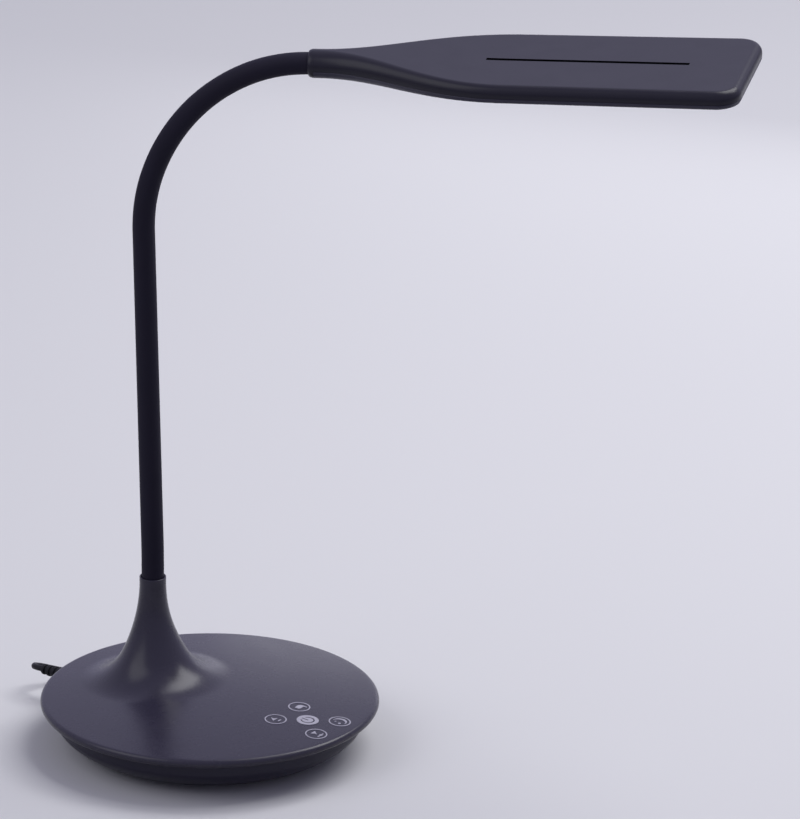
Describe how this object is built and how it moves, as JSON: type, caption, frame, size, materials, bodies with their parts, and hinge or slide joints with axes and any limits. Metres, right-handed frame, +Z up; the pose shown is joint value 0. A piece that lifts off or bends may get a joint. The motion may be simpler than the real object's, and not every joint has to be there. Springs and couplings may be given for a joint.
{
  "type": "desk lamp",
  "caption": "Touch-control desk lamp: flat paddle light head on a rubber-sleeved gooseneck rising from an off-centre riser on a round domed base.",
  "frame": {"origin": "centre of the round foot pad's face, on the table top", "axes": "+Z up; +X from the riser towards the five touch marks; +Y to the left seen from behind the riser; the arm reaches 25 degrees from +X towards +Y"},
  "size_m": [0.3894, 0.2603, 0.4016],
  "materials": {
    "cover_grey": "satin",
    "trim_dark": "satin",
    "pad_rubber": "matte",
    "black_rubber": "matte",
    "steel": "satin",
    "ballast_iron": "matte",
    "hose_steel": "satin",
    "brass": "satin",
    "board_green": "satin",
    "chip_black": "matte",
    "tie_black": "satin",
    "plug_black": "satin",
    "tongue_white": "satin",
    "plate_aluminium": "satin",
    "sheet_white": "matte",
    "guide_clear": "gloss",
    "lens_opal": "satin",
    "led_yellow": "gloss",
    "mark_print": "matte"
  },
  "bodies": {
    "base": {"base_top_cover": "cover_grey", "base_pan": "trim_dark", "foot_pad": "pad_rubber", "ballast_plate": "ballast_iron", "ballast_screws": "steel", "pan_screws": "steel", "touch_board": "board_green", "board_parts": "chip_black", "touch_springs": "brass", "board_screws": "steel", "mark_power": "mark_print", "mark_night": "mark_print", "mark_warmth": "mark_print", "mark_dimmer": "mark_print", "mark_brighter": "mark_print", "riser_washer": "steel", "strain_relief": "black_rubber", "inner_lead": "black_rubber", "riser_lead": "black_rubber", "power_lead": "black_rubber", "lead_coil": "black_rubber", "lead_tie": "tie_black", "plug_body": "plug_black", "plug_shell": "steel", "plug_tongue": "tongue_white"},
    "stem": {"lower_bush": "brass", "lock_nut": "steel", "core_0": "hose_steel"},
    "link_1": {"core_1": "hose_steel", "sleeve_1": "black_rubber"},
    "link_2": {"core_2": "hose_steel", "sleeve_2": "black_rubber"},
    "link_3": {"core_3": "hose_steel", "sleeve_3": "black_rubber"},
    "link_4": {"core_4": "hose_steel", "sleeve_4": "black_rubber"},
    "link_5": {"core_5": "hose_steel", "sleeve_5": "black_rubber"},
    "link_6": {"core_6": "hose_steel", "sleeve_6": "black_rubber"},
    "link_7": {"core_7": "hose_steel", "sleeve_7": "black_rubber"},
    "link_8": {"core_8": "hose_steel", "sleeve_8": "black_rubber", "upper_bush": "brass"},
    "head": {"collar_ring": "cover_grey", "head_top_shell": "cover_grey", "head_bezel": "trim_dark", "slot_liner": "black_rubber", "heat_plate": "plate_aluminium", "reflector_sheet": "sheet_white", "light_guide": "guide_clear", "lens_panel": "lens_opal", "led_strips": "board_green", "leds": "led_yellow", "head_screws": "steel", "neck_clip": "steel", "head_lead": "black_rubber"}
  },
  "joints": [
    {"name": "arm_swivel", "type": "hinge", "parent": "base", "child": "stem", "pos_m": [-0.0374, 0, 0.0865], "axis": [0, 0, 1], "range_deg": [-90, 90]},
    {"name": "bend_1", "type": "hinge", "parent": "stem", "child": "link_1", "pos_m": [-0.0374, 0, 0.1005], "axis": [-0.4226, 0.9063, 0], "range_deg": [-10, 10], "deforming": ["sleeve_1"]},
    {"name": "bend_2", "type": "hinge", "parent": "link_1", "child": "link_2", "pos_m": [-0.03838, -0.00046, 0.14624], "axis": [-0.4226, 0.9063, 0], "range_deg": [-10, 10], "deforming": ["sleeve_2"]},
    {"name": "bend_3", "type": "hinge", "parent": "link_2", "child": "link_3", "pos_m": [-0.03937, -0.00092, 0.19197], "axis": [-0.4226, 0.9063, 0], "range_deg": [-10, 10], "deforming": ["sleeve_3"]},
    {"name": "bend_4", "type": "hinge", "parent": "link_3", "child": "link_4", "pos_m": [-0.04035, -0.00138, 0.23771], "axis": [-0.4226, 0.9063, 0], "range_deg": [-10, 10], "deforming": ["sleeve_4"]},
    {"name": "bend_5", "type": "hinge", "parent": "link_4", "child": "link_5", "pos_m": [-0.04134, -0.00184, 0.28345], "axis": [-0.4226, 0.9063, 0], "range_deg": [-21, 10], "deforming": ["sleeve_5"]},
    {"name": "bend_6", "type": "hinge", "parent": "link_5", "child": "link_6", "pos_m": [-0.03582, 0.00074, 0.32013], "axis": [-0.4226, 0.9063, 0], "range_deg": [-21, 10], "deforming": ["sleeve_6"]},
    {"name": "bend_7", "type": "hinge", "parent": "link_6", "child": "link_7", "pos_m": [-0.01885, 0.00865, 0.35228], "axis": [-0.4226, 0.9063, 0], "range_deg": [-21, 10], "deforming": ["sleeve_7"]},
    {"name": "bend_8", "type": "hinge", "parent": "link_7", "child": "link_8", "pos_m": [0.00741, 0.02089, 0.37557], "axis": [-0.4226, 0.9063, 0], "range_deg": [-21, 10], "deforming": ["sleeve_8"]},
    {"name": "head_twist", "type": "hinge", "parent": "link_8", "child": "head", "pos_m": [0.03984, 0.03602, 0.38537], "axis": [0.9052, 0.4221, 0.0488], "range_deg": [-90, 90]}
  ],
  "couplings": [
    {"joint": "bend_2", "follows": "bend_1", "ratio": 1},
    {"joint": "bend_3", "follows": "bend_1", "ratio": 1},
    {"joint": "bend_4", "follows": "bend_1", "ratio": 1},
    {"joint": "bend_6", "follows": "bend_5", "ratio": 1},
    {"joint": "bend_7", "follows": "bend_5", "ratio": 1},
    {"joint": "bend_8", "follows": "bend_5", "ratio": 1}
  ]
}
